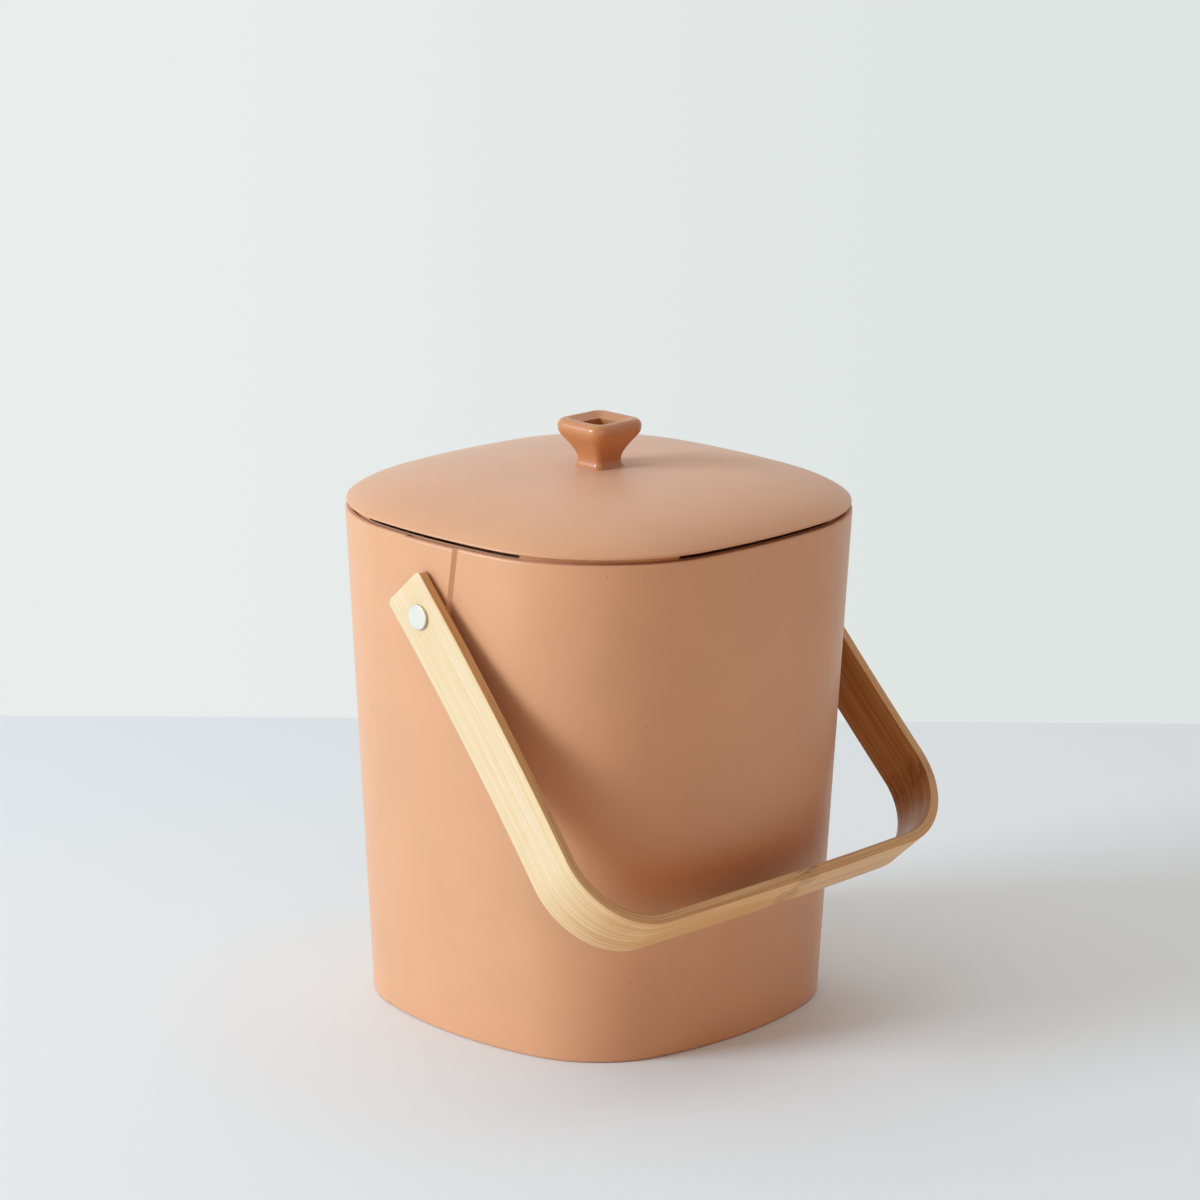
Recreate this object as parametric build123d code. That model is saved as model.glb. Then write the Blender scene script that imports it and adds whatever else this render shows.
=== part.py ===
from build123d import *
import math
import os

# Kitchen compost bin: a moulded rounded-square bucket, a domed lift-off lid that carries a
# charcoal filter, and a bent bamboo bail that swings on two rivets.
# Millimetres, +Z up, origin at the centre of the base on the worktop.
# X runs through the two rivets, and at rest the bail leans over the -Y side.

# Bucket: plan at the base and at the rim, with straight tapered walls between them
base_half = 81.6
base_side_radius = 160.0
base_corner_radius = 49.0
rim_half = 90.9
rim_side_radius = 280.0
rim_corner_radius = 65.0
rim_height = 200.0
wall = 2.6
lower_wall = 2.8
floor_thickness = 3.0
floor_edge_radius = 1.2
floor_inner_radius = 6.0
rim_outer_radius = 0.9
rim_inner_radius = 0.6

# Ledge inside the bucket that the lid sits on, where the thicker wall below it begins
ledge_drop = 9.5
ledge_reach = 2.0

# Raised tab on each side wall, from the pivot up to the rim, with sloping sides and a flat boss
# for the bail. Its widths are those of its face
pivot_drop = 28.3
tab_proud = 1.35
tab_top_half = 13.4
tab_round = 6.7
tab_slope = 45.0
tab_inner_radius = 0.5
boss_radius = 7.5
boss_proud = 0.45
inner_boss_radius = 7.0
inner_boss_proud = 0.4

# Rivets and washers of the bail
rivet_shank_radius = 2.5
rivet_clearance = 0.05
rivet_head_radius = 4.9
rivet_head_thickness = 1.1
rivet_head_edge = 0.3
rivet_tail_radius = 4.2
rivet_tail_thickness = 1.4
spacer_radius = 6.5
spacer_thickness = 0.8
backing_radius = 6.0
backing_thickness = 1.0
bail_gap = 0.1

# Bail: one bent bamboo strip. Its flare and bow are in degrees, and its length runs from the
# pivot to the outside of the crossbar
strip_width = 23.2
strip_thickness = 4.2
strip_end = 14.0
strip_end_corner = 2.5
strip_edge_radius = 0.7
bail_length = 148.2
bail_corner_radius = 32.3
bail_flare = 4.4
crossbar_bow = 1.15
bail_rest_gap = 3.8

# Dome of the lid, above the rim
dome_inset = 0.4
dome_lift = 2.1
dome_edge_height = 0.8
dome_upper_radius = 1.0
dome_lower_radius = 0.45
dome_rise = 12.6
dome_plan_power = 3.35
dome_rise_power = 1.27
dome_wall = 2.4
dome_top_share = 0.11
dome_steps = 9
dome_rim_wall = 2.5
landing_lift = 1.0
landing_width = 4.0

# Lid base: the skirt that drops into the bucket, its plug, floor, vents and filter well
skirt_gap = 0.8
skirt_wall = 2.2
plug_gap = 0.8
plug_drop = 16.0
lid_floor = 2.2
vent_half = 41.5
vent_sill = 0.0
vent_lip = 0.6
vent_relief = 1.5
well_corner_gap = 4.0
well_corner_radius = 9.0
well_wall = 2.0
well_lip_reach = 3.0
well_lip_thickness = 1.5

# Screws that pull the lid base up to the pillars under the dome
pillar_inset = 8.5
pillar_radius = 4.2
screw_boss_height = 4.5
screw_boss_radius = 5.4
screw_shank_radius = 1.5
screw_clearance = 0.2
screw_head_radius = 3.0
screw_head_thickness = 1.8
screw_grip = 9.0
screw_recess = 2.2

# Knob: a hollow square trumpet. Each level is a height above its foot, a half width and a
# corner radius
knob_levels = [
    (0.0, 7.95, 2.8),
    (1.2, 7.1, 2.8),
    (2.8, 6.85, 2.8),
    (5.0, 7.3, 3.0),
    (7.5, 8.55, 3.4),
    (10.0, 10.3, 4.2),
    (12.4, 12.2, 5.2),
    (14.2, 13.15, 5.8),
    (16.0, 13.4, 6.0),
]
knob_lip_height = 2.9
knob_lip_radius = 2.75
knob_mouth_half = 10.0
knob_mouth_corner = 3.8
knob_mouth_radius = 0.5
knob_dish_depth = 1.8
knob_pit_half = 5.4
knob_pit_corner = 1.0
knob_pit_floor = 7.5

# Knob screw and its washer, under the middle of the dome
knob_screw_radius = 2.0
knob_screw_clearance = 0.05
knob_screw_reach = 5.5
knob_screw_head_radius = 4.0
knob_screw_head_thickness = 2.4
knob_washer_radius = 6.5
knob_washer_thickness = 1.0
knob_boss_radius = 9.0
knob_boss_depth = 1.6

# Filter tray that pushes up into the well, and the charcoal pad on it
tray_gap = 0.3
tray_flange_reach = 3.0
tray_flange = 1.6
tray_floor = 2.0
tray_rim_wall = 1.8
tray_rim_height = 5.6
tray_slot_columns = 9
tray_slot_pitch = 9.0
tray_slot_width = 4.0
tray_slot_length = 36.0
tray_rib_place = 26.0
tray_rib_width = 3.0
tray_rib_proud = 0.2
tray_pull_width = 22.0
tray_pull_reach = 5.5
tray_pull_corner = 2.5
pad_gap = 0.4
pad_thickness = 8.0
pad_edge_radius = 1.5
pad_corner_radius = 6.0
pad_top_gap = 0.5


def section(z):
    """Outer plan of the bucket at a height: half width, side radius and corner radius."""
    share = z / rim_height
    return (
        base_half + (rim_half - base_half) * share,
        base_side_radius + (rim_side_radius - base_side_radius) * share,
        base_corner_radius + (rim_corner_radius - base_corner_radius) * share,
    )


def inset(plan, distance):
    """The plan moved inwards by a distance, with its arcs kept concentric."""
    half, side_radius, corner_radius = plan
    return half - distance, side_radius - distance, corner_radius - distance


def corner_centre(plan):
    """Both coordinates of the centre of the plan's corner arc."""
    half, side_radius, corner_radius = plan
    side_centre = side_radius - half
    reach = side_radius - corner_radius
    return (math.sqrt(2 * reach**2 - side_centre**2) - side_centre) / 2


def corner_reach(plan):
    """Both coordinates of the plan's outermost point on its diagonal."""
    return corner_centre(plan) + plan[2] * math.sqrt(0.5)


def plan_face(plan, z):
    """A square with bulged sides and round corners, as a face at a height."""
    half, side_radius, _ = plan
    side_centre = side_radius - half
    centre = corner_centre(plan)
    turn = math.atan2(centre, centre + side_centre)
    along = side_radius * math.cos(turn) - side_centre
    across = side_radius * math.sin(turn)
    corner = corner_reach(plan)
    side_arc = ThreePointArc((along, -across), (half, 0), (along, across))
    corner_arc = ThreePointArc((along, across), (corner, corner), (across, along))
    edges = [arc.rotate(Axis.Z, 90 * turns) for turns in range(4) for arc in (side_arc, corner_arc)]
    return Pos(0, 0, z) * make_face(edges)


def tapered(lower, lower_z, upper, upper_z):
    """A solid with straight walls between two plans."""
    return loft([plan_face(lower, lower_z), plan_face(upper, upper_z)], ruled=True)


def follow_wall(distance, lower_z, upper_z):
    """A solid whose side is the bucket's outer wall moved inwards by a distance."""
    return tapered(inset(section(lower_z), distance), lower_z, inset(section(upper_z), distance), upper_z)


def inner_plan(z):
    """Inner plan of the bucket under its ledge, where the wall thickens evenly towards the ledge."""
    share = (z - floor_thickness) / (ledge_height - floor_thickness)
    return inset(section(z), lower_wall + (wall + ledge_reach - lower_wall) * share)


def square_face(half, corner_radius, z):
    return Pos(0, 0, z) * RectangleRounded(2 * half, 2 * half, corner_radius)


def square_prism(half, corner_radius, bottom, top):
    return extrude(square_face(half, corner_radius, bottom), top - bottom)


def upright(radius, bottom, top, x=0, y=0):
    """A vertical cylinder between two heights."""
    alignment = (Align.CENTER, Align.CENTER, Align.MIN)
    return Pos(x, y, bottom) * Cylinder(radius, top - bottom, align=alignment)


def crosswise(radius, start, end, height):
    """A cylinder along X between two places, at a height."""
    low = min(start, end)
    return Pos(low, 0, height) * Rot(0, 90, 0) * upright(radius, 0, abs(end - start))


def top_face(shape):
    return shape.faces().filter_by(Plane.XY).sort_by(Axis.Z)[-1]


# Heights that the lid and the bail take from the rim
pivot_height = rim_height - pivot_drop
ledge_height = rim_height - ledge_drop
plug_bottom = rim_height - plug_drop
landing = rim_height + dome_lift + landing_lift

# Places along X of the bail's hardware, worked out from the side wall
wall_at_pivot = section(pivot_height)[0]
boss_face = wall_at_pivot + tab_proud + boss_proud
strip_inner = boss_face + spacer_thickness + bail_gap
strip_outer = strip_inner + strip_thickness
inner_boss_face = inner_plan(pivot_height)[0] - inner_boss_proud
backing_face = inner_boss_face - backing_thickness
rivet_hole = rivet_shank_radius + rivet_clearance


def tab_prism():
    """The outline of the +X tab, a round end about the pivot that widens to the rim, sloping out inwards."""
    top_line = Line((-tab_top_half, rim_height), (tab_top_half, rim_height))
    round_end = CenterArc((0, pivot_height), tab_round, 0, 360)
    outline = Plane.YZ.offset(rim_half + tab_proud) * make_hull([top_line, round_end])
    return extrude(outline, -4 * wall, taper=-tab_slope)


def bucket_inside():
    """The bucket's hollow: the main space, and the wider mouth above the ledge."""
    lower = tapered(inner_plan(floor_thickness), floor_thickness, inner_plan(ledge_height), ledge_height)
    lower = fillet(lower.faces().sort_by(Axis.Z)[0].edges(), floor_inner_radius)
    mouth = follow_wall(wall, ledge_height, rim_height)
    return lower + mouth


def bin_body():
    bucket = follow_wall(0, 0, rim_height)
    bucket = fillet(bucket.faces().sort_by(Axis.Z)[0].edges(), floor_edge_radius)
    tab = tab_prism() & follow_wall(-tab_proud, 0, rim_height)
    bucket += [tab, mirror(tab, Plane.YZ)]
    for side in (-1, 1):
        bucket += crosswise(boss_radius, side * (boss_face - wall), side * boss_face, pivot_height)
    bucket = round_rim(bucket - bucket_inside())
    tab_inside = Pos(-wall, 0, 0) * tab_prism() & follow_wall(wall - tab_proud, ledge_height, rim_height)
    bucket -= [tab_inside, mirror(tab_inside, Plane.YZ)]
    tab_edges = top_face(bucket).inner_wires()[0].edges().filter_by(GeomType.CIRCLE)
    bucket = fillet(tab_edges, tab_inner_radius)
    for side in (-1, 1):
        pad_end = wall_at_pivot - wall / 2
        bucket += crosswise(inner_boss_radius, side * inner_boss_face, side * pad_end, pivot_height)
        bucket -= crosswise(rivet_hole, side * backing_face, side * strip_inner, pivot_height)
    return bucket


def round_rim(bucket):
    """Eases the outer and the inner edge of the rim."""
    bucket = fillet(top_face(bucket).outer_wire().edges(), rim_outer_radius)
    return fillet(top_face(bucket).inner_wires()[0].edges(), rim_inner_radius)


def rivet(side):
    """A flat-headed rivet through the strip, the spacer, the wall and the backing washer."""
    head_start = strip_outer + bail_gap
    head = crosswise(rivet_head_radius, head_start, head_start + rivet_head_thickness, 0)
    head = fillet(head.edges().sort_by(Axis.X)[-1], rivet_head_edge)
    tail_end = backing_face - rivet_tail_thickness
    tail = crosswise(rivet_tail_radius, tail_end, backing_face, 0)
    tail = fillet(tail.edges().sort_by(Axis.X)[0], rivet_tail_thickness * 0.6)
    shank = crosswise(rivet_shank_radius, backing_face, head_start, 0)
    whole = Pos(0, 0, pivot_height) * (head + shank + tail)
    return whole if side > 0 else mirror(whole, Plane.YZ)


def ring(radius, start, thickness, side):
    """A washer on the rivet's shank, on one side of the bin."""
    disc = crosswise(radius, side * start, side * (start + thickness), pivot_height)
    return disc - crosswise(rivet_hole, side * (start - 1), side * (start + thickness + 1), pivot_height)


def bail_outline(depth):
    """Half of the bail's outline at a depth under its outer face, from the end to the middle."""
    flare = math.radians(bail_flare)
    bow = math.radians(crossbar_bow)
    half_bow = math.tan(bow / 2)
    arm_radius = (
        bail_length
        - bail_corner_radius * (1 + math.sin(flare))
        - half_bow * (strip_outer - bail_corner_radius * math.cos(flare))
    ) / (math.sin(flare) + half_bow * (1 - math.cos(flare)))
    arm_centre = strip_outer + arm_radius
    corner_x = arm_centre - (arm_radius + bail_corner_radius) * math.cos(flare)
    corner_z = -(arm_radius + bail_corner_radius) * math.sin(flare)
    bar_radius = corner_x / math.sin(bow) + bail_corner_radius
    bar_centre = corner_z + corner_x / math.tan(bow)

    def on_arm(angle):
        radius = arm_radius + depth
        return arm_centre - radius * math.cos(angle), -radius * math.sin(angle)

    def on_corner(angle):
        radius = bail_corner_radius - depth
        return corner_x + radius * math.cos(angle), corner_z + radius * math.sin(angle)

    def on_bar(angle):
        radius = bar_radius - depth
        return radius * math.sin(angle), bar_centre - radius * math.cos(angle)

    turn_end = bow - math.pi / 2
    return [
        Line((strip_outer - depth, strip_end), on_arm(0)),
        ThreePointArc(on_arm(0), on_arm(flare / 2), on_arm(flare)),
        ThreePointArc(on_corner(flare), on_corner((flare + turn_end) / 2), on_corner(turn_end)),
        ThreePointArc(on_bar(bow), on_bar(bow / 2), on_bar(0)),
    ]


def rest_angle():
    """The angle from hanging straight down at which the crossbar clears the front wall by its gap."""
    wall_slope = (rim_half - base_half) / rim_height
    reach = bail_length - strip_thickness
    lower_edge = strip_width / 2
    sine_part = reach + wall_slope * lower_edge
    cosine_part = wall_slope * reach - lower_edge
    needed = wall_at_pivot + bail_rest_gap
    turned = math.asin(needed / math.hypot(sine_part, cosine_part))
    return math.degrees(turned - math.atan2(cosine_part, sine_part))


def handle():
    """The bail, shaped hanging straight down from its pivot and then swung to its rest."""
    outer = bail_outline(0)
    inner = bail_outline(strip_thickness)
    end_line = Line((strip_outer, strip_end), (strip_inner, strip_end))
    middle_line = Line(outer[-1] @ 1, inner[-1] @ 1)
    half_face = make_face([*outer, *inner, end_line, middle_line])
    half = extrude(Plane.XZ * half_face, strip_width / 2, both=True)
    half = fillet(half.edges().filter_by(Axis.X).group_by(Axis.Z)[-1], strip_end_corner)
    strip = half + mirror(half, Plane.YZ)
    across = strip.edges().filter_by(Axis.X)
    edges = [edge for edge in strip.edges() if edge.bounding_box().size.Y < strip_width / 2 and edge not in across]
    edges += strip.edges().filter_by(Axis.Y).group_by(Axis.Z)[-1]
    strip = fillet(edges, strip_edge_radius)
    for side in (-1, 1):
        strip -= crosswise(rivet_hole, side * (strip_inner - 1), side * (strip_outer + 1), 0)
    return Pos(0, 0, pivot_height) * Rot(-rest_angle(), 0, 0) * strip


def dome_plan(share):
    half, side_radius, corner_radius = inset(section(rim_height), dome_inset)
    return half * share, side_radius * share, corner_radius * share


def dome_height(share):
    """Height of the dome's outside at a share of its half width."""
    edge = rim_height + dome_lift + dome_edge_height
    return edge + dome_rise * (1 - share**dome_plan_power) ** (1 / dome_rise_power)


dome_top = dome_height(dome_top_share)
knob_foot = dome_top


def pillow(outer_share, drop):
    """A smooth crowned solid through even steps of the dome's plan, lowered by a drop."""
    shares = [outer_share + (dome_top_share - outer_share) * step / dome_steps for step in range(dome_steps + 1)]
    return loft([plan_face(dome_plan(share), dome_height(share) - drop) for share in shares])


def dome_block():
    """The dome before it is hollowed."""
    crown = pillow(1, 0)
    edge = tapered(dome_plan(1), rim_height + dome_lift, dome_plan(1), dome_height(1))
    block = crown + edge
    upper_edge = [e for e in block.edges() if abs(e.center().Z - dome_height(1)) < 0.01]
    block = fillet(upper_edge, dome_upper_radius)
    lower_edge = block.faces().filter_by(Plane.XY).sort_by(Axis.Z)[0].edges()
    return fillet(lower_edge, dome_lower_radius)


def dome_hollow():
    """The space under the dome, and the shallow recess that the skirt's top butts against."""
    edge_half = dome_plan(1)[0]
    landing_share = 1 - (dome_rim_wall + landing_width) / edge_half
    under = pillow(landing_share, dome_wall)
    bottom = rim_height + dome_lift
    throat = tapered(
        dome_plan(landing_share), bottom, dome_plan(landing_share), dome_height(landing_share) - dome_wall
    )
    recess_plan = inset(dome_plan(1), dome_rim_wall)
    recess = tapered(recess_plan, bottom, recess_plan, landing)
    return under + throat + recess


# Places across the lid: the screws near its corners, and the filter well between them
skirt_outer = wall + skirt_gap
plug_outer = wall + ledge_reach + plug_gap
pillar_place = corner_reach(inset(section(plug_bottom), plug_outer + skirt_wall)) - pillar_inset
screw_boss_top = plug_bottom + screw_boss_height
tray_corner_radius = well_corner_radius + tray_flange_reach
tray_reach = pillar_place * math.sqrt(2) - screw_boss_radius - well_corner_gap
well_half = well_corner_radius + (tray_reach - tray_corner_radius) / math.sqrt(2)


def at_pillars(shape):
    """Four copies of a shape, one at each pillar."""
    return [Pos(x * pillar_place, y * pillar_place, 0) * shape for x in (-1, 1) for y in (-1, 1)]


def lid_cover():
    cover = dome_block() - dome_hollow()
    core = pillow(1, dome_wall / 2)
    core += tapered(dome_plan(1), screw_boss_top, dome_plan(1), dome_height(1) - dome_wall / 2)
    pillar = upright(pillar_radius, screw_boss_top, dome_top)
    cover += [piece & core for piece in at_pillars(pillar)]
    boss_bottom = dome_top - dome_wall - knob_boss_depth
    cover += upright(knob_boss_radius, boss_bottom, dome_top - dome_wall / 2)
    cover -= upright(knob_screw_radius + knob_screw_clearance, boss_bottom - 1, dome_top + 1)
    pilot = upright(screw_shank_radius, screw_boss_top - 1, screw_boss_top + screw_grip)
    cover -= at_pillars(pilot)
    return cover


def vent():
    """The cut for the +X vent slot, over a sill that is thinned to a lip from the inside."""
    sill = rim_height + vent_sill
    relief_bottom = sill - vent_relief
    place = section(rim_height)[0] - skirt_outer
    size = (6 * skirt_wall, 2 * vent_half)
    slot = extrude(Pos(place, 0, sill) * Rectangle(*size), landing - sill)
    relief = extrude(Pos(place, 0, relief_bottom) * Rectangle(*size), landing - relief_bottom)
    return slot + (relief & follow_wall(skirt_outer + vent_lip, relief_bottom, landing))


def lid_base():
    skirt_inner = skirt_outer + skirt_wall
    plug_inner = plug_outer + skirt_wall
    base = follow_wall(skirt_outer, ledge_height, landing) + follow_wall(plug_outer, plug_bottom, ledge_height)
    base -= follow_wall(skirt_inner, ledge_height + lid_floor, landing)
    base -= follow_wall(plug_inner, plug_bottom + lid_floor, ledge_height + lid_floor)
    base -= [vent().rotate(Axis.Z, 90 * turns) for turns in range(4)]
    base += filter_well()
    base -= square_prism(well_half, well_corner_radius, plug_bottom, well_lip_bottom)
    boss = upright(screw_boss_radius, plug_bottom, screw_boss_top)
    base += at_pillars(boss)
    hole = upright(screw_shank_radius + screw_clearance, plug_bottom, screw_boss_top)
    hole += upright(screw_head_radius + screw_clearance, plug_bottom, plug_bottom + screw_recess)
    base -= at_pillars(hole)
    return base


# Heights of the tray, the pad and the well's lip, from the lid's floor down and up again
tray_bottom = plug_bottom - tray_flange
pad_bottom = tray_bottom + tray_floor
pad_top = pad_bottom + pad_thickness
well_lip_bottom = pad_top + pad_top_gap
well_top = well_lip_bottom + well_lip_thickness


def filter_well():
    """The square wall round the filter, with a lip that stops the pad."""
    outer_half = well_half + well_wall
    outer_corner = well_corner_radius + well_wall
    lip_half = well_half - well_lip_reach
    lip_corner = well_corner_radius - well_lip_reach
    block = square_prism(outer_half, outer_corner, plug_bottom, well_top)
    return block - square_prism(lip_half, lip_corner, plug_bottom, well_top)


def lid_screws():
    head_top = plug_bottom + screw_recess
    head = upright(screw_head_radius, head_top - screw_head_thickness, head_top)
    head = fillet(head.edges().sort_by(Axis.Z)[0], screw_head_thickness / 2)
    shank_top = screw_boss_top + screw_grip - screw_shank_radius
    shank = upright(screw_shank_radius, head_top, shank_top)
    shank = chamfer(shank.edges().sort_by(Axis.Z)[-1], screw_shank_radius / 2)
    return Compound(children=at_pillars(head + shank))


def lid_knob():
    """A trumpet lofted through its levels, a rounded lip, a shallow dish and a square pit."""
    faces = [square_face(half, corner, knob_foot + z) for z, half, corner in knob_levels]
    trumpet = loft(faces)
    lip_z, lip_half, lip_corner = knob_levels[-1]
    lip_bottom = knob_foot + lip_z
    lip_top = lip_bottom + knob_lip_height
    lip = square_prism(lip_half, lip_corner, lip_bottom, lip_top)
    lip = fillet(lip.faces().sort_by(Axis.Z)[-1].edges(), knob_lip_radius)
    dish_bottom = lip_top - knob_dish_depth
    dish = loft(
        [
            square_face(knob_pit_half, knob_pit_corner, dish_bottom),
            square_face(knob_mouth_half, knob_mouth_corner, lip_top),
        ],
        ruled=True,
    )
    pit = square_prism(knob_pit_half, knob_pit_corner, knob_foot + knob_pit_floor, dish_bottom)
    hole = upright(knob_screw_radius + knob_screw_clearance, knob_foot, knob_foot + knob_screw_reach + 0.5)
    knob = trumpet + lip - dish
    knob = fillet(top_face(knob).inner_wires()[0].edges(), knob_mouth_radius)
    return knob - pit - hole


def knob_washer():
    top = dome_top - dome_wall - knob_boss_depth
    bottom = top - knob_washer_thickness
    return upright(knob_washer_radius, bottom, top) - upright(knob_screw_radius + knob_screw_clearance, bottom, top)


def knob_screw():
    head_top = dome_top - dome_wall - knob_boss_depth - knob_washer_thickness
    head = upright(knob_screw_head_radius, head_top - knob_screw_head_thickness, head_top)
    head = fillet(head.edges().sort_by(Axis.Z)[0], knob_screw_head_thickness / 2)
    return head + upright(knob_screw_radius, head_top, knob_foot + knob_screw_reach)


def filter_tray():
    """A shallow slotted tray: a flange under the lid's floor and a rim that pushes up into the well."""
    rim_half_width = well_half - tray_gap
    rim_corner = well_corner_radius - tray_gap
    flange_half = well_half + tray_flange_reach
    tray = square_prism(flange_half, tray_corner_radius, tray_bottom, plug_bottom)
    pull = RectangleRounded(tray_pull_width, 2 * tray_pull_reach, tray_pull_corner)
    tray += extrude(Pos(0, -flange_half, tray_bottom) * pull, tray_flange)
    tray += square_prism(rim_half_width, rim_corner, tray_bottom, tray_bottom + tray_rim_height)
    hollow_half = rim_half_width - tray_rim_wall
    hollow_corner = rim_corner - tray_rim_wall
    tray -= square_prism(hollow_half, hollow_corner, pad_bottom, tray_bottom + tray_rim_height)
    rib_depth = tray_rim_wall + tray_rib_proud
    rib_height = tray_bottom + tray_rim_height - plug_bottom
    rib = Box(rib_depth, tray_rib_width, rib_height, align=(Align.MAX, Align.CENTER, Align.MIN))
    rib = Pos(rim_half_width + tray_rib_proud, tray_rib_place, plug_bottom) * rib
    mirrored_rib = mirror(rib, Plane.XZ)
    tray += [piece.rotate(Axis.Z, 90 * turns) for piece in (rib, mirrored_rib) for turns in range(4)]
    slot = SlotOverall(tray_slot_length, tray_slot_width, rotation=90)
    row_place = (tray_slot_length + tray_slot_width) / 2
    middle = (tray_slot_columns - 1) / 2
    for column in range(tray_slot_columns):
        x = (column - middle) * tray_slot_pitch
        for y in (-row_place, row_place):
            tray -= extrude(Pos(x, y, tray_bottom) * slot, tray_floor)
    return tray


def charcoal_pad():
    """The soft filter pad: a square slab with rounded edges."""
    half = well_half - tray_gap - tray_rim_wall - pad_gap
    pad = square_prism(half, pad_corner_radius, pad_bottom, pad_top)
    rounded = pad.faces().filter_by(Plane.XY).edges()
    return fillet(rounded, pad_edge_radius)


if __name__ == "__main__":
    pieces = {
        "bin_body": bin_body(),
        "handle": handle(),
        "lid_cover": lid_cover(),
        "lid_base": lid_base(),
        "lid_knob": lid_knob(),
        "knob_screw": knob_screw(),
        "knob_washer": knob_washer(),
        "lid_screws": lid_screws(),
        "filter_tray": filter_tray(),
        "charcoal_pad": charcoal_pad(),
    }
    for name, side in (("left", -1), ("right", 1)):
        pieces[f"rivet_{name}"] = rivet(side)
        pieces[f"spacer_washer_{name}"] = ring(spacer_radius, boss_face, spacer_thickness, side)
        pieces[f"backing_washer_{name}"] = ring(backing_radius, backing_face, backing_thickness, side)
    os.makedirs("parts", exist_ok=True)
    for name, piece in pieces.items():
        export_step(piece, f"parts/{name}.step")
    print(f"bail rest angle {rest_angle():.3f} degrees, pivot height {pivot_height:.2f} mm")
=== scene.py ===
"""Kitchen compost bin: a satin bamboo-fibre plastic bucket with a domed lid, a hollow square
knob, a bent bamboo bail on flat rivets and a charcoal pad in a slotted tray.
Metres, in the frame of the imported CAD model."""

import math

import bmesh
import bpy
from mathutils import Matrix, Vector


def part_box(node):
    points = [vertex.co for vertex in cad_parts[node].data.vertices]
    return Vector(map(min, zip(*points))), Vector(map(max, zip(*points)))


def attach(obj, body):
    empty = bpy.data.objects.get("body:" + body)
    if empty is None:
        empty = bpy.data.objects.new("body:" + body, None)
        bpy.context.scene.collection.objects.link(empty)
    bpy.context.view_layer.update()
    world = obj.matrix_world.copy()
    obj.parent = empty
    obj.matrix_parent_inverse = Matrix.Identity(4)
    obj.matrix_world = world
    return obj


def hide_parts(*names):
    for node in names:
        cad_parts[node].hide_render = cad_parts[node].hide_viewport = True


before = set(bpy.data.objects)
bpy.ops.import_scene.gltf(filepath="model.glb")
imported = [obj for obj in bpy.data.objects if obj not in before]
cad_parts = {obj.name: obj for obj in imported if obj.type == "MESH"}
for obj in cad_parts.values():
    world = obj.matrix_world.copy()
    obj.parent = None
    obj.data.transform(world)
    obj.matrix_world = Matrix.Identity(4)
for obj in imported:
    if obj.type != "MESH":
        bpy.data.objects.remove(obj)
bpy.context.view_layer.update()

MM = 0.001


# The bail's strip. Its length runs from the pivot to the outside of the crossbar

STRIP_WIDTH = 23.2 * MM
STRIP_THICKNESS = 4.2 * MM
STRIP_OUTER = 96.48 * MM
STRIP_END = 14.0 * MM
STRIP_END_CORNER = 2.5 * MM
STRIP_EDGE_RADIUS = 0.7 * MM
PLY_THICKNESS = STRIP_THICKNESS / 4
BAIL_LENGTH = 148.2 * MM
BAIL_CORNER_RADIUS = 32.3 * MM
BAIL_FLARE = math.radians(4.4)
CROSSBAR_BOW = math.radians(1.15)
BAIL_REST = math.radians(42.162)
PIVOT_HEIGHT = 171.7 * MM
RIVET_HOLE = 2.55 * MM
RIVET_HOLE_MARGIN = 1.5 * MM
RIVET_HOLE_ROOM = 6.5 * MM


# Nodes and colours

COLOURS = {"data_type": "RGBA"}
SMOOTH = {"interpolation_type": "SMOOTHSTEP"}
ABSOLUTE = {"operation": "ABSOLUTE"}
MULTIPLY_ADD = {"operation": "MULTIPLY_ADD"}
DOT_PRODUCT = {"operation": "DOT_PRODUCT"}


def linear(hex_colour):
    """An sRGB hex colour as linear RGBA."""
    channels = [int(hex_colour[i:i + 2], 16) / 255 for i in (1, 3, 5)]
    return [c / 12.92 if c <= 0.04045 else ((c + 0.055) / 1.055) ** 2.4 for c in channels] + [1.0]


def add(tree, kind, settings=None, **inputs):
    """Adds a node with its settings and inputs. An input goes by its name, or by its number after a
    low line. It takes a socket or a node, whose first output in use is linked, a hex colour, or a
    plain value."""
    node = tree.nodes.new("ShaderNode" + kind)
    for name, value in (settings or {}).items():
        setattr(node, name, value)
    for name, value in inputs.items():
        socket = node.inputs[int(name[1:]) if name[0] == "_" else name.replace("_", " ")]
        if isinstance(value, bpy.types.Node):
            value = next(output for output in value.outputs if output.enabled)
        if isinstance(value, bpy.types.NodeSocket):
            tree.links.new(value, socket)
        else:
            socket.default_value = linear(value) if isinstance(value, str) else value
    return node


def new_material(name):
    """A material without nodes, and its node tree."""
    material = bpy.data.materials.new(name)
    material.use_nodes = True
    material.node_tree.nodes.clear()
    return material, material.node_tree


def paint(node, material):
    """Gives a CAD node its material."""
    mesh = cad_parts[node].data
    mesh.materials.clear()
    mesh.materials.append(material)


# Materials

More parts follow.
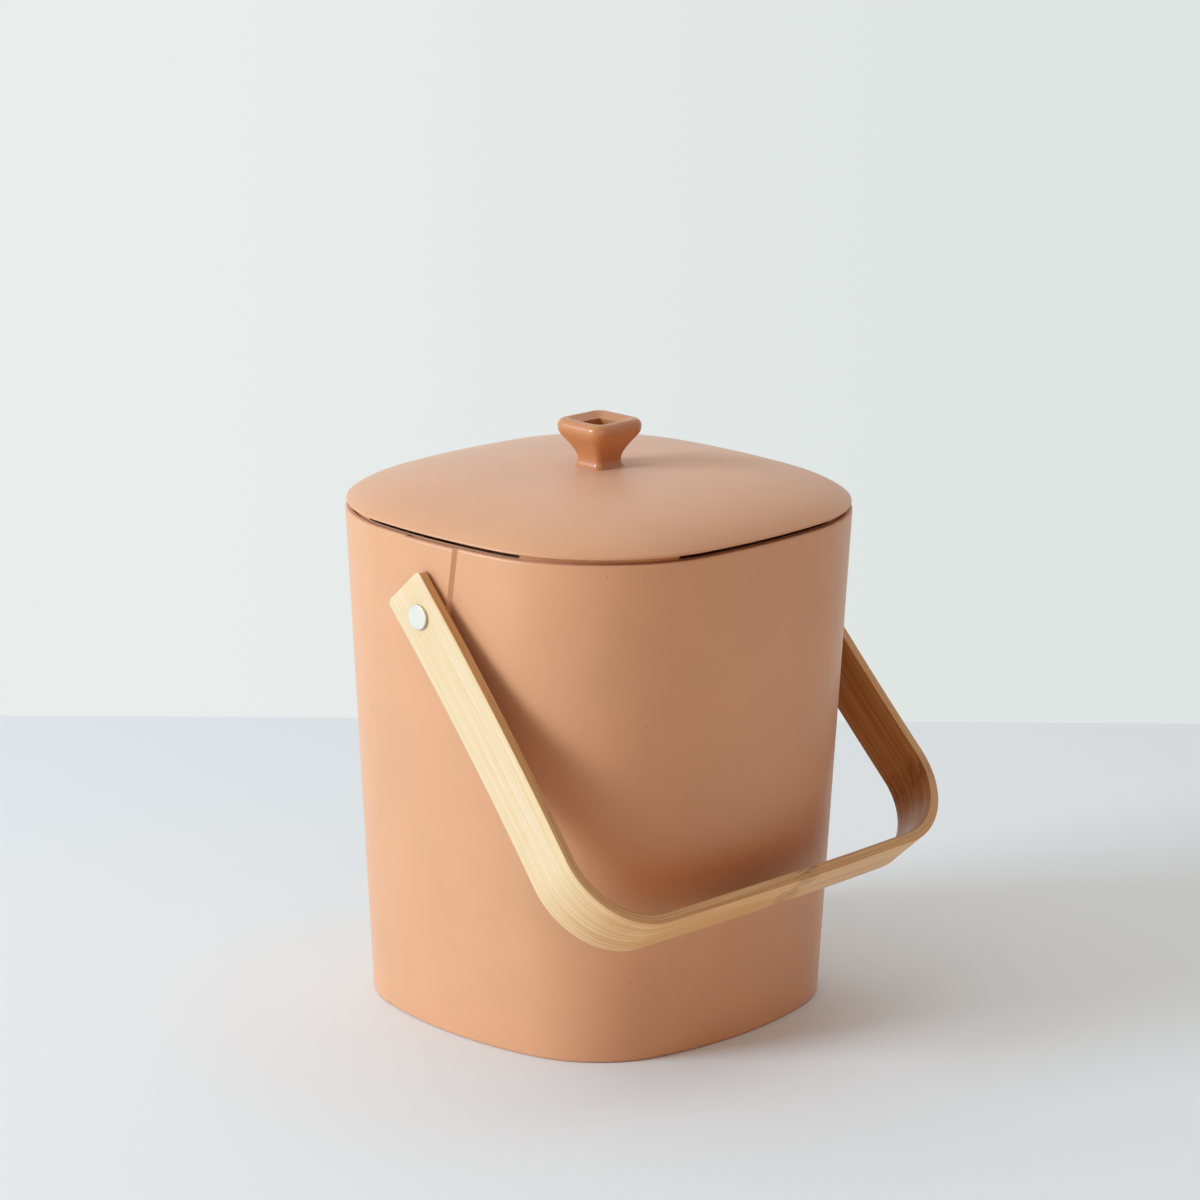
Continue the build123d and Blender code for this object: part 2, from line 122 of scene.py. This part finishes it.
def bamboo_fibre_plastic(name, colour, roughness, grain, bloom):
    """Moulded bamboo-fibre plastic: an even satin body colour with fine dark fibre specks, and a
    faint bloom from the ends of the fibres where its surface isn't polished."""
    material, tree = new_material(name)
    place = add(tree, "TexCoord").outputs["Object"]
    # Uneven fibre content clouds the colour, in patches of about 36 mm
    clouds = add(tree, "TexNoise", Vector=place, Scale=1 / (35.714 * MM), Detail=3.0, Roughness=0.55)
    shade = add(tree, "MapRange", Value=clouds, From_Min=0.3, From_Max=0.7, To_Min=0.965, To_Max=1.03)
    body = add(tree, "VectorMath", {"operation": "SCALE"}, _0=linear(colour)[:3], Scale=shade)
    # Specks 0.3 to 0.8 mm long, one at most in each cell of 2.6 mm
    stretched = add(tree, "Mapping", Vector=place, Rotation=(0.5, 0.3, 0.2), Scale=(1.0, 1.0, 0.55))
    cells = add(tree, "TexVoronoi", Vector=stretched, Scale=1 / (2.6 * MM))
    chance = add(tree, "SeparateColor", Color=cells.outputs["Color"]).outputs["Red"]
    size = add(tree, "MapRange", Value=chance, From_Min=0.62, From_Max=1.0, To_Min=0.0, To_Max=0.14)
    near = add(tree, "Math", {"operation": "SUBTRACT"}, _0=size, _1=cells.outputs["Distance"])
    speck = add(tree, "MapRange", Value=near, From_Min=0.0, From_Max=0.06, To_Min=0.0, To_Max=0.32)
    speckled = add(tree, "Mix", COLOURS, _0=speck, _6=body, _7="#6B3B26")
    # The mould's satin grain, drawn coarser than the real one, at 0.35 mm, so that it shows, on
    # slow waves of 9 mm
    fine = add(tree, "TexNoise", Vector=place, Scale=1 / (0.35 * MM), Detail=2.0)
    slow = add(tree, "TexNoise", Vector=place, Scale=1 / (9 * MM), Detail=2.0)
    height = add(tree, "Math", MULTIPLY_ADD, _0=slow, _1=2.0, _2=fine)
    bump = add(tree, "Bump", Strength=grain, Distance=0.06 * MM, Height=height)
    surface = add(tree, "BsdfPrincipled", Base_Color=speckled, Roughness=roughness, IOR=1.5,
                  Sheen_Weight=bloom, Sheen_Roughness=0.5, Normal=bump)
    add(tree, "OutputMaterial", Surface=surface)
    return material


def streaks(tree, place, along, across, through, detail=2.0):
    """Noise in streaks of a given size that run along the strip."""
    stretched = add(tree, "Mapping", Vector=place, Scale=(1 / along, 1 / across, 1 / through))
    return add(tree, "TexNoise", Vector=stretched, Scale=1.0, Detail=detail)


# The culm's joints, by their places along the strip from the middle of the crossbar
KNUCKLES = (12 * MM, 118 * MM)
KNUCKLE_SLAT = 5.8 * MM
KNUCKLE_SCATTER = 10 * MM
KNUCKLE_CORE = 3 * MM
KNUCKLE_REACH = 9 * MM


def knuckles(tree, place, along):
    """Short dark dashes where the culm's joints were, at a different place in each slat."""
    slat = add(tree, "Mapping", Vector=place, Scale=(0, 1 / KNUCKLE_SLAT, 0), Location=(0, 0.5, 0))
    slat = add(tree, "VectorMath", {"operation": "FLOOR"}, _0=slat)
    shift = add(tree, "TexWhiteNoise", Vector=slat)
    along = add(tree, "Math", MULTIPLY_ADD, _0=shift, _1=KNUCKLE_SCATTER, _2=along)
    near = 0.0
    for knuckle in KNUCKLES:
        offset = add(tree, "Math", {"operation": "SUBTRACT"}, _0=along, _1=knuckle)
        offset = add(tree, "Math", ABSOLUTE, _0=offset)
        here = add(tree, "MapRange", SMOOTH, Value=offset, From_Min=KNUCKLE_CORE,
                   From_Max=KNUCKLE_REACH, To_Min=1.0, To_Max=0.0)
        near = add(tree, "Math", {"operation": "ADD"}, _0=near, _1=here)
    dashes = streaks(tree, place, 6 * MM, 0.8 * MM, 0.8 * MM, detail=1.0)
    dashes = add(tree, "MapRange", SMOOTH, Value=dashes, From_Min=0.44, From_Max=0.7,
                 To_Min=0.12, To_Max=0.75)
    return add(tree, "Math", {"operation": "MULTIPLY"}, _0=near, _1=dashes)


# Colours of the pale and of the dark fibres: on the arms, the crossbar, the edges and the inside.
# The crossbar's deeper orange and the inside's brown are painted shade.
FIBRE_AND_SHADE_COLOURS = (("#E1CCA8", "#F8CE92", "#D9B07A", "#BF8A52"),
                 ("#DDBF8A", "#E4AA6A", "#C08A50", "#A06A38"))


def lacquered_bamboo():
    """Bent bamboo under clear satin lacquer: pale on the outer face, golden on the sawn edges with
    thin glue lines between plies. Painted shade: brown on the inner face, and a deeper orange on
    the crossbar."""
    material, tree = new_material("lacquered_bamboo")
    place = add(tree, "Attribute", {"attribute_name": "strip_place"}).outputs["Vector"]
    along, across, depth = add(tree, "SeparateXYZ", Vector=place).outputs
    off_middle = add(tree, "Math", ABSOLUTE, _0=across)
    # inside marks the inner face, where the brown painted shade goes; at_edge marks the sawn edges
    at_edge, inside = (
        add(tree, "MapRange", SMOOTH, Value=distance, From_Min=end - 0.7 * MM, From_Max=end - 0.1 * MM)
        for distance, end in ((off_middle, STRIP_WIDTH / 2), (depth, STRIP_THICKNESS)))
    # Fibres 0.9 mm wide in bundles of 2.6 mm, and slats of 9 mm
    fibres = streaks(tree, place, 60 * MM, 0.9 * MM, 0.7 * MM)
    bundles = streaks(tree, place, 160 * MM, 2.6 * MM, 1.2 * MM)
    slats = streaks(tree, place, 400 * MM, 9 * MM, 4 * MM)
    grain = fibres
    for wider in (slats, bundles):
        grain = add(tree, "Math", MULTIPLY_ADD, _0=wider, _1=0.35, _2=grain)
    grain = add(tree, "MapRange", SMOOTH, Value=grain, From_Min=0.66, From_Max=1.04,
                To_Min=1.0, To_Max=0.0)
    # Painted shade: the crossbar is a little browner than the arms
    length = add(tree, "Math", ABSOLUTE, _0=along)
    crossbar = add(tree, "MapRange", SMOOTH, Value=length, From_Min=70 * MM, From_Max=130 * MM,
                   To_Min=1.0, To_Max=0.0)
    fibre_and_shade_tones = []
    for arm, bar, edge, inner in FIBRE_AND_SHADE_COLOURS:
        # Painted shade: the crossbar's deeper orange
        tone = add(tree, "Mix", COLOURS, _0=crossbar, _6=arm, _7=bar)
        tone = add(tree, "Mix", COLOURS, _0=at_edge, _6=tone, _7=edge)
        # Painted shade: the inner face takes the brown colours
        fibre_and_shade_tones.append(add(tree, "Mix", COLOURS, _0=inside, _6=tone, _7=inner))
    tone = add(tree, "Mix", COLOURS, _0=grain, _6=fibre_and_shade_tones[0], _7=fibre_and_shade_tones[1])
    # Glue lines 0.2 mm wide between the plies
    ply = add(tree, "Math", {"operation": "PINGPONG"}, _0=depth, _1=PLY_THICKNESS / 2)
    glue = add(tree, "MapRange", SMOOTH, Value=ply, From_Min=0.0, From_Max=0.1 * MM,
               To_Min=0.25, To_Max=0.0)
    glue = add(tree, "Math", {"operation": "MULTIPLY"}, _0=glue, _1=at_edge)
    tone = add(tree, "Mix", COLOURS, _0=glue, _6=tone, _7="#7A4D22")
    tone = add(tree, "Mix", COLOURS, _0=knuckles(tree, place, along), _6=tone, _7="#7F4818")
    bump = add(tree, "Bump", Strength=0.2, Distance=0.06 * MM, Height=fibres)
    surface = add(tree, "BsdfPrincipled", Base_Color=tone, Roughness=0.36, IOR=1.5, Normal=bump)
    add(tree, "OutputMaterial", Surface=surface)
    return material


def tumbled_steel():
    """Tumbled stainless steel: a bright, even, matte metal with very fine pits."""
    material, tree = new_material("tumbled_steel")
    place = add(tree, "TexCoord").outputs["Object"]
    pits = add(tree, "TexNoise", Vector=place, Scale=1 / (0.4 * MM), Detail=3.0)
    roughness = add(tree, "MapRange", Value=pits, From_Min=0.3, From_Max=0.7, To_Min=0.32, To_Max=0.46)
    bump = add(tree, "Bump", Strength=0.2, Distance=0.03 * MM, Height=pits)
    surface = add(tree, "BsdfPrincipled", Base_Color="#D3D0C4", Metallic=1.0, Roughness=roughness,
                  Normal=bump)
    add(tree, "OutputMaterial", Surface=surface)
    return material


def zinc_plated_steel():
    """Zinc plated steel: greyer than stainless, with a faint blue and yellow cast in clouds."""
    material, tree = new_material("zinc_plated_steel")
    place = add(tree, "TexCoord").outputs["Object"]
    clouds = add(tree, "TexNoise", Vector=place, Scale=1 / (2.5 * MM), Detail=2.0)
    share = add(tree, "MapRange", Value=clouds, From_Min=0.35, From_Max=0.65)
    cast = add(tree, "Mix", COLOURS, _0=share, _6="#BFC3C8", _7="#CFCBBE")
    surface = add(tree, "BsdfPrincipled", Base_Color=cast, Metallic=1.0, Roughness=0.34)
    add(tree, "OutputMaterial", Surface=surface)
    return material


def natural_nylon():
    """Turned natural nylon: milky and slightly waxy, with faint clouds."""
    material, tree = new_material("natural_nylon")
    place = add(tree, "TexCoord").outputs["Object"]
    clouds = add(tree, "TexNoise", Vector=place, Scale=1 / (4 * MM), Detail=2.0)
    share = add(tree, "MapRange", Value=clouds, From_Min=0.3, From_Max=0.7)
    milk = add(tree, "Mix", COLOURS, _0=share, _6="#DEDACD", _7="#E8E5DA")
    surface = add(tree, "BsdfPrincipled", Base_Color=milk, Roughness=0.45, IOR=1.53)
    add(tree, "OutputMaterial", Surface=surface)
    return material


def carbon_felt():
    """Needled carbon felt: near black and quite rough, with short matted fibres."""
    material, tree = new_material("carbon_felt")
    place = add(tree, "TexCoord").outputs["Object"]
    fibres = add(tree, "TexNoise", Vector=place, Scale=1 / (1.2 * MM), Detail=5.0, Roughness=0.7,
                 Distortion=1.5)
    tone = "#141414"
    for low, high, colour in ((0.35, 0.6, "#2B2B2A"), (0.6, 0.8, "#3D3C3A")):
        share = add(tree, "MapRange", Value=fibres, From_Min=low, From_Max=high)
        tone = add(tree, "Mix", COLOURS, _0=share, _6=tone, _7=colour)
    bump = add(tree, "Bump", Strength=0.7, Distance=0.6 * MM, Height=fibres)
    surface = add(tree, "BsdfPrincipled", Base_Color=tone, Roughness=0.95, IOR=1.4, Normal=bump)
    add(tree, "OutputMaterial", Surface=surface)
    return material


# Steps that several pieces share

SMOOTH_ANGLE = math.radians(40)
RIM_ANGLE = math.radians(60)


def cut_across(mesh, place, normal):
    """Cuts the whole mesh along a plane and keeps both sides."""
    everything = mesh.verts[:] + mesh.edges[:] + mesh.faces[:]
    bmesh.ops.bisect_plane(mesh, geom=everything, plane_co=place, plane_no=normal)


def only(kind, result):
    """The vertices or the edges among the geometry that an operator made."""
    return [item for item in result["geom"] if isinstance(item, kind)]


def face_outward(mesh):
    """Turns all faces of a closed mesh outward. The operator alone can leave a bent piece inside
    out as a whole."""
    bmesh.ops.recalc_face_normals(mesh, faces=mesh.faces[:])
    if mesh.calc_volume(signed=True) < 0:
        bmesh.ops.reverse_faces(mesh, faces=mesh.faces[:])


def finished(name, mesh):
    """A mesh object from a bmesh, smooth where its faces meet at a small angle."""
    data = bpy.data.meshes.new(name)
    mesh.to_mesh(data)
    mesh.free()
    piece = bpy.data.objects.new(name, data)
    bpy.context.collection.objects.link(piece)
    data.shade_smooth()
    data.set_sharp_from_angle(angle=SMOOTH_ANGLE)
    return piece


# The bail

def bail_curve():
    """Lengths of the strip's runs along its outer face, and the function that bends a flat strip."""
    half_bow = math.tan(CROSSBAR_BOW / 2)
    across = STRIP_OUTER - BAIL_CORNER_RADIUS * math.cos(BAIL_FLARE)
    arm_radius = BAIL_LENGTH - BAIL_CORNER_RADIUS * (1 + math.sin(BAIL_FLARE)) - half_bow * across
    arm_radius /= math.sin(BAIL_FLARE) + half_bow * (1 - math.cos(BAIL_FLARE))
    arm_centre = STRIP_OUTER + arm_radius
    corner_x = arm_centre - (arm_radius + BAIL_CORNER_RADIUS) * math.cos(BAIL_FLARE)
    corner_z = -(arm_radius + BAIL_CORNER_RADIUS) * math.sin(BAIL_FLARE)
    bar_radius = corner_x / math.sin(CROSSBAR_BOW) + BAIL_CORNER_RADIUS
    bar_centre = corner_z + corner_x / math.tan(CROSSBAR_BOW)
    bar_end = bar_radius * CROSSBAR_BOW
    corner_end = bar_end + BAIL_CORNER_RADIUS * (math.pi / 2 - CROSSBAR_BOW + BAIL_FLARE)
    arm_end = corner_end + arm_radius * BAIL_FLARE

    def bent(along, across, depth):
        place = abs(along)
        if place <= bar_end:
            angle = place / bar_radius
            x = (bar_radius - depth) * math.sin(angle)
            z = bar_centre - (bar_radius - depth) * math.cos(angle)
        elif place <= corner_end:
            angle = CROSSBAR_BOW - math.pi / 2 + (place - bar_end) / BAIL_CORNER_RADIUS
            x = corner_x + (BAIL_CORNER_RADIUS - depth) * math.cos(angle)
            z = corner_z + (BAIL_CORNER_RADIUS - depth) * math.sin(angle)
        elif place <= arm_end:
            angle = BAIL_FLARE - (place - corner_end) / arm_radius
            x = arm_centre - (arm_radius + depth) * math.cos(angle)
            z = -(arm_radius + depth) * math.sin(angle)
        else:
            x = STRIP_OUTER - depth
            z = place - arm_end
        return Vector((math.copysign(x, along), across, z))

    return arm_end, (bar_end, corner_end), bent


HOLE_SIDE_CUTS = 5
ARM_STEPS = 14
CORNER_STEPS = 24
BAR_STEPS = 12
LONG_CUT = 0.62


def rivet_holes(mesh, pivot):
    """Opens the face round each pivot to a round hole."""
    for side in (-1, 1):
        centre = Vector((side * pivot, 0, 0))
        face = min(mesh.faces, key=lambda f: (f.calc_center_median() - centre).length)
        bmesh.ops.inset_individual(mesh, faces=[face], thickness=RIVET_HOLE_MARGIN)
        bmesh.ops.subdivide_edges(mesh, edges=face.edges[:], cuts=HOLE_SIDE_CUTS)
        for vert in face.verts:
            vert.co = centre + (vert.co - centre).normalized() * RIVET_HOLE
        bmesh.ops.delete(mesh, geom=[face], context="FACES_ONLY")


def flat_strip(pivot, bar_end, corner_end):
    """The strip's outer face before bending: rounded ends, rivet holes, and cuts where it bends."""
    half_length = pivot + STRIP_END
    half_width = STRIP_WIDTH / 2
    mesh = bmesh.new()
    corners = [mesh.verts.new((x * half_length, y * half_width, 0))
               for x, y in ((-1, -1), (1, -1), (1, 1), (-1, 1))]
    mesh.faces.new(corners)
    bmesh.ops.bevel(mesh, geom=mesh.verts[:], offset=STRIP_END_CORNER, segments=6, profile=0.5,
                    affect="VERTICES", material=-1)
    arm_cuts_end = pivot - RIVET_HOLE_ROOM
    stations = [corner_end + (arm_cuts_end - corner_end) * step / ARM_STEPS
                for step in range(ARM_STEPS + 1)]
    stations += [bar_end + (corner_end - bar_end) * step / CORNER_STEPS for step in range(CORNER_STEPS)]
    stations += [bar_end * step / BAR_STEPS for step in range(1, BAR_STEPS)]
    stations.append(pivot + RIVET_HOLE_ROOM)
    for station in [0.0] + stations + [-s for s in stations]:
        cut_across(mesh, (station, 0, 0), (1, 0, 0))
    for across in (-LONG_CUT, LONG_CUT):
        cut_across(mesh, (0, across * half_width, 0), (0, 1, 0))
    rivet_holes(mesh, pivot)
    bmesh.ops.recalc_face_normals(mesh, faces=mesh.faces[:])
    return mesh


def bent_strip():
    """The bail: the strip given its thickness and rounded edges, bent, and swung to its rest."""
    pivot, (bar_end, corner_end), bent = bail_curve()
    mesh = flat_strip(pivot, bar_end, corner_end)
    inner = only(bmesh.types.BMVert, bmesh.ops.extrude_face_region(mesh, geom=mesh.faces[:]))
    bmesh.ops.translate(mesh, verts=inner, vec=(0, 0, STRIP_THICKNESS))
    bmesh.ops.recalc_face_normals(mesh, faces=mesh.faces[:])
    # All edges of the two faces but those of the rivet holes
    rims = []
    for edge in mesh.edges:
        near, far = (vert.co for vert in edge.verts)
        off_hole = abs(abs(near.x) - pivot) + abs(near.y) > 2 * RIVET_HOLE
        if off_hole and near.z == far.z and edge.is_manifold and edge.calc_face_angle() > RIM_ANGLE:
            rims.append(edge)
    bmesh.ops.bevel(mesh, geom=rims, offset=STRIP_EDGE_RADIUS, segments=3, profile=0.5,
                    affect="EDGES", material=-1)
    # The grain follows each point's place on the flat strip
    place = mesh.verts.layers.float_vector.new("strip_place")
    swing = Matrix.Translation((0, 0, PIVOT_HEIGHT)) @ Matrix.Rotation(-BAIL_REST, 4, "X")
    for vert in mesh.verts:
        vert[place] = vert.co
        vert.co = swing @ bent(*vert.co)
    face_outward(mesh)
    return finished("bail_strip", mesh)


# The charcoal pad

PAD_CROWN = 0.5 * MM
PAD_CORNER_RADIUS = 6 * MM
PAD_EDGE_RADIUS = 2.2 * MM
PAD_STEPS = 12


def felt_pad():
    """The pad: a slab of felt with rounded sides that is a little thicker in the middle."""
    low, high = (Vector(corner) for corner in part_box("charcoal_pad"))
    mesh = bmesh.new()
    bmesh.ops.create_cube(mesh, size=1.0)
    size = high - low - Vector((0, 0, PAD_CROWN))
    bmesh.ops.scale(mesh, vec=size, verts=mesh.verts[:])
    upright = [edge for edge in mesh.edges if abs(edge.verts[0].co.z - edge.verts[1].co.z) > size.z / 2]
    bmesh.ops.bevel(mesh, geom=upright, offset=PAD_CORNER_RADIUS, segments=6, profile=0.5,
                    affect="EDGES", material=-1)
    for step in range(1, PAD_STEPS):
        share = step / PAD_STEPS - 0.5
        cut_across(mesh, (share * size.x, 0, 0), (1, 0, 0))
        cut_across(mesh, (0, share * size.y, 0), (0, 1, 0))
    rims = [edge for edge in mesh.edges if edge.calc_face_angle(0) > RIM_ANGLE]
    bmesh.ops.bevel(mesh, geom=rims, offset=PAD_EDGE_RADIUS, segments=4, profile=0.5,
                    affect="EDGES", material=-1)
    half = size.x / 2
    for vert in mesh.verts:
        if vert.co.z > 0:
            crown = (1 - (vert.co.x / half) ** 4) * (1 - (vert.co.y / half) ** 4)
            vert.co.z += PAD_CROWN * max(crown, 0)
    centre = (low + high) / 2 - Vector((0, 0, PAD_CROWN / 2))
    bmesh.ops.translate(mesh, verts=mesh.verts[:], vec=centre)
    return finished("felt_pad", mesh)


# The screws

SCREW_SIDES = 32
ROUNDING_STEPS = 6
FLAT_SHARE = 0.9
CROSS_SHARE = 0.9
CROSS_HALF_WIDTH = 0.4 * MM
CROSS_DEPTH = 1.1 * MM
CROSS_TAPER = 0.7
LID_SCREW = {"head": 3.0 * MM, "rounding": 0.9 * MM, "thickness": 1.8 * MM, "shank": 1.5 * MM,
             "tip": 0.75 * MM}
KNOB_SCREW = {"head": 4.0 * MM, "rounding": 1.2 * MM, "thickness": 2.4 * MM, "shank": 2.0 * MM,
              "tip": 0.0}


def sink_cross(mesh, reach):
    """Sinks a driver's cross with tapered sides into a flat disc."""
    for distance in (-reach, -CROSS_HALF_WIDTH, CROSS_HALF_WIDTH, reach):
        cut_across(mesh, (distance, 0, 0), (1, 0, 0))
        cut_across(mesh, (0, distance, 0), (0, 1, 0))
    cross = []
    for face in mesh.faces:
        off_middle = [abs(value) for value in face.calc_center_median().xy]
        if min(off_middle) < CROSS_HALF_WIDTH and max(off_middle) < reach:
            cross.append(face)
    floor = only(bmesh.types.BMVert, bmesh.ops.extrude_face_region(mesh, geom=cross))
    bmesh.ops.translate(mesh, verts=floor, vec=(0, 0, CROSS_DEPTH))
    bmesh.ops.scale(mesh, verts=floor, vec=(CROSS_TAPER, CROSS_TAPER, 1))
    bmesh.ops.delete(mesh, geom=cross, context="FACES")


def cross_screw(node, head, rounding, thickness, shank, tip):
    """A pan head screw, head down, as long as its CAD node, and the place of its foot."""
    low, high = (Vector(corner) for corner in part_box(node))
    length = high.z - low.z
    mesh = bmesh.new()
    radius, height = (head - rounding) * FLAT_SHARE, 0.0
    bmesh.ops.create_circle(mesh, cap_ends=True, radius=radius, segments=SCREW_SIDES)
    sink_cross(mesh, radius * CROSS_SHARE)
    outline = [(head - rounding, 0.0)]
    for step in range(1, ROUNDING_STEPS + 1):
        turn = math.radians(90) * step / ROUNDING_STEPS
        outline.append((head - rounding * (1 - math.sin(turn)), rounding * (1 - math.cos(turn))))
    outline += [(head, thickness), (shank, thickness), (shank, length - tip)]
    if tip:
        outline.append((shank - tip, length))
    rim = [edge for edge in mesh.edges if edge.is_boundary]
    for next_radius, next_height in outline:
        grown = bmesh.ops.extrude_edge_only(mesh, edges=rim)
        ring, rim = only(bmesh.types.BMVert, grown), only(bmesh.types.BMEdge, grown)
        growth = next_radius / radius
        bmesh.ops.scale(mesh, verts=ring, vec=(growth, growth, 1))
        bmesh.ops.translate(mesh, verts=ring, vec=(0, 0, next_height - height))
        radius, height = next_radius, next_height
    bmesh.ops.contextual_create(mesh, geom=rim)
    face_outward(mesh)
    return mesh, Vector((high.x - head, high.y - head, low.z))


def placed(name, mesh, places):
    """One object with a copy of a mesh at each place."""
    one = bpy.data.meshes.new(name + "_one")
    mesh.to_mesh(one)
    mesh.free()
    several = bmesh.new()
    for place in places:
        moved = one.copy()
        moved.transform(Matrix.Translation(place))
        several.from_mesh(moved)
        bpy.data.meshes.remove(moved)
    bpy.data.meshes.remove(one)
    return finished(name, several)


# The pieces and their materials

bucket_plastic = bamboo_fibre_plastic("moulded_bamboo_fibre_plastic", "#D79E72",
                                      roughness=0.42, grain=0.35, bloom=0.2)
knob_plastic = bamboo_fibre_plastic("polished_bamboo_fibre_plastic", "#C58556",
                                    roughness=0.28, grain=0.1, bloom=0.0)
steel = tumbled_steel()
zinc = zinc_plated_steel()
nylon = natural_nylon()

for material, nodes in (
        (bucket_plastic, ("bin_body", "lid_cover", "lid_base", "filter_tray")),
        (knob_plastic, ("lid_knob",)),
        (steel, ("rivet_left", "rivet_right")),
        (zinc, ("knob_washer", "backing_washer_left", "backing_washer_right")),
        (nylon, ("spacer_washer_left", "spacer_washer_right"))):
    for node in nodes:
        paint(node, material)

strip = bent_strip()
strip.data.materials.append(lacquered_bamboo())
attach(strip, "bail")
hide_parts("handle")

screw, foot = cross_screw("lid_screws", **LID_SCREW)
lid_screws = placed("cross_lid_screws", screw,
                    [(x * foot.x, y * foot.y, foot.z) for x in (-1, 1) for y in (-1, 1)])
screw, foot = cross_screw("knob_screw", **KNOB_SCREW)
knob_screw = placed("cross_knob_screw", screw, [foot])
for piece, node in ((lid_screws, "lid_screws"), (knob_screw, "knob_screw")):
    piece.data.materials.append(zinc)
    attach(piece, "lid")
    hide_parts(node)

pad = felt_pad()
pad.data.materials.append(carbon_felt())
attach(pad, "filter")
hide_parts("charcoal_pad")


# Camera

IMAGE_SIZE = 1200
SENSOR_WIDTH = 36
FOCAL_PIXELS = 4255.6
CAMERA_AZIMUTH = math.radians(-45.19)
CAMERA_ELEVATION = math.radians(16.903)
CAMERA_DISTANCE = 1699.5 * MM
CAMERA_ROLL = math.radians(0.40)
TARGET_PIXELS = (-1.75, 146.8)

# Directions as the camera sees them, level with the floor, and the point that it is set by
AWAY = Vector((-math.sin(CAMERA_AZIMUTH), math.cos(CAMERA_AZIMUTH), 0))
SIDE = Vector((math.cos(CAMERA_AZIMUTH), math.sin(CAMERA_AZIMUTH), 0))
UP = Vector((0, 0, 1))
TARGET = UP * 100 * MM


def photo_camera():
    """A camera at the photograph's place, turned so that the target falls where it does there."""
    back = UP * math.sin(CAMERA_ELEVATION) - AWAY * math.cos(CAMERA_ELEVATION)
    forward = -back
    right = forward.cross(UP).normalized()
    up = right.cross(forward)
    yaw = math.atan(TARGET_PIXELS[0] / FOCAL_PIXELS)
    pitch = math.atan(TARGET_PIXELS[1] / FOCAL_PIXELS * math.cos(yaw))
    turn = Matrix.Rotation(yaw, 3, "Z")
    forward, right, up = turn @ forward, turn @ right, turn @ up
    tip = Matrix.Rotation(pitch, 3, right)
    forward, up = tip @ forward, tip @ up
    roll = Matrix.Rotation(-CAMERA_ROLL, 3, forward)
    right, up = roll @ right, roll @ up
    lens = bpy.data.cameras.new("photo_camera")
    lens.sensor_width = SENSOR_WIDTH
    lens.lens = FOCAL_PIXELS * SENSOR_WIDTH / IMAGE_SIZE
    lens.clip_start = 50 * MM
    camera = bpy.data.objects.new("photo_camera", lens)
    bpy.context.collection.objects.link(camera)
    turned = Matrix((right, up, -forward)).transposed().to_4x4()
    camera.matrix_world = Matrix.Translation(TARGET + back * CAMERA_DISTANCE) @ turned
    bpy.context.scene.camera = camera


# Floor, room and lamps

FLOOR_END = 0.375
FLOOR_REACH = 6.0
ROOM_DARK = 0.02
ROOM_PALE = 1.05
WINDOW_POWER = 75.0
FRONT_POWER = 7.6


def pale_floor():
    """A plain matte floor that ends behind the bin, square to the camera."""
    material, tree = new_material("pale_floor")
    surface = add(tree, "BsdfPrincipled", Base_Color="#E4E8E8", Roughness=0.75)
    add(tree, "OutputMaterial", Surface=surface)
    near, far, reach = AWAY * -FLOOR_REACH, AWAY * FLOOR_END, SIDE * FLOOR_REACH
    mesh = bmesh.new()
    mesh.faces.new([mesh.verts.new(corner)
                    for corner in (near - reach, near + reach, far + reach, far - reach)])
    floor = finished("floor", mesh)
    floor.data.materials.append(material)


def soft_room():
    """The room: pale above and behind the bin, and dark in front of it. The camera, and rays off or
    through the bin's surfaces, see a plain pale wall in its place."""
    world = bpy.data.worlds.new("soft_room")
    world.use_nodes = True
    tree = world.node_tree
    tree.nodes.clear()
    looking = add(tree, "TexCoord").outputs["Generated"]
    pale = add(tree, "VectorMath", DOT_PRODUCT, _0=looking, _1=AWAY * 0.4 - SIDE * 0.2 + UP)
    level = add(tree, "MapRange", SMOOTH, Value=pale, From_Min=0.1, From_Max=1.05,
                To_Min=ROOM_DARK, To_Max=ROOM_PALE)
    room = add(tree, "Background", Color="#FFFFFF", Strength=level)
    across = add(tree, "VectorMath", DOT_PRODUCT, _0=looking, _1=SIDE)
    share = add(tree, "MapRange", SMOOTH, Value=across, From_Min=-0.12, From_Max=0.12)
    wall = add(tree, "Mix", COLOURS, _0=share, _6="#E9EDEC", _7="#DFE5E3")
    backdrop = add(tree, "Background", Color=wall, Strength=1.0)
    rays = add(tree, "LightPath").outputs
    shown = rays["Is Camera Ray"]
    for kind in ("Is Glossy Ray", "Is Transmission Ray"):
        shown = add(tree, "Math", {"operation": "MAXIMUM"}, _0=shown, _1=rays[kind])
    mixed = add(tree, "MixShader", _0=shown, _1=room, _2=backdrop)
    add(tree, "OutputWorld", Surface=mixed)
    bpy.context.scene.world = world


def area_light(name, place, size, power, colour):
    """A rectangular lamp that faces the target."""
    lamp = bpy.data.lights.new(name, "AREA")
    lamp.shape = "RECTANGLE"
    lamp.size, lamp.size_y = size
    lamp.energy = power
    lamp.color = linear(colour)[:3]
    light = bpy.data.objects.new(name, lamp)
    aim = (TARGET - place).to_track_quat("-Z", "Y").to_matrix().to_4x4()
    light.matrix_world = Matrix.Translation(place) @ aim
    bpy.context.collection.objects.link(light)


photo_camera()
pale_floor()
soft_room()
area_light("window", SIDE * -2.6 - AWAY * 0.8 + UP * 0.95, (1.1, 1.1), WINDOW_POWER, "#E4F0FF")
area_light("front", SIDE * 0.8 - AWAY * 1.8 + UP * 0.45, (1.6, 1.2), FRONT_POWER, "#FFB88E")
bpy.context.scene.view_settings.view_transform = "Standard"
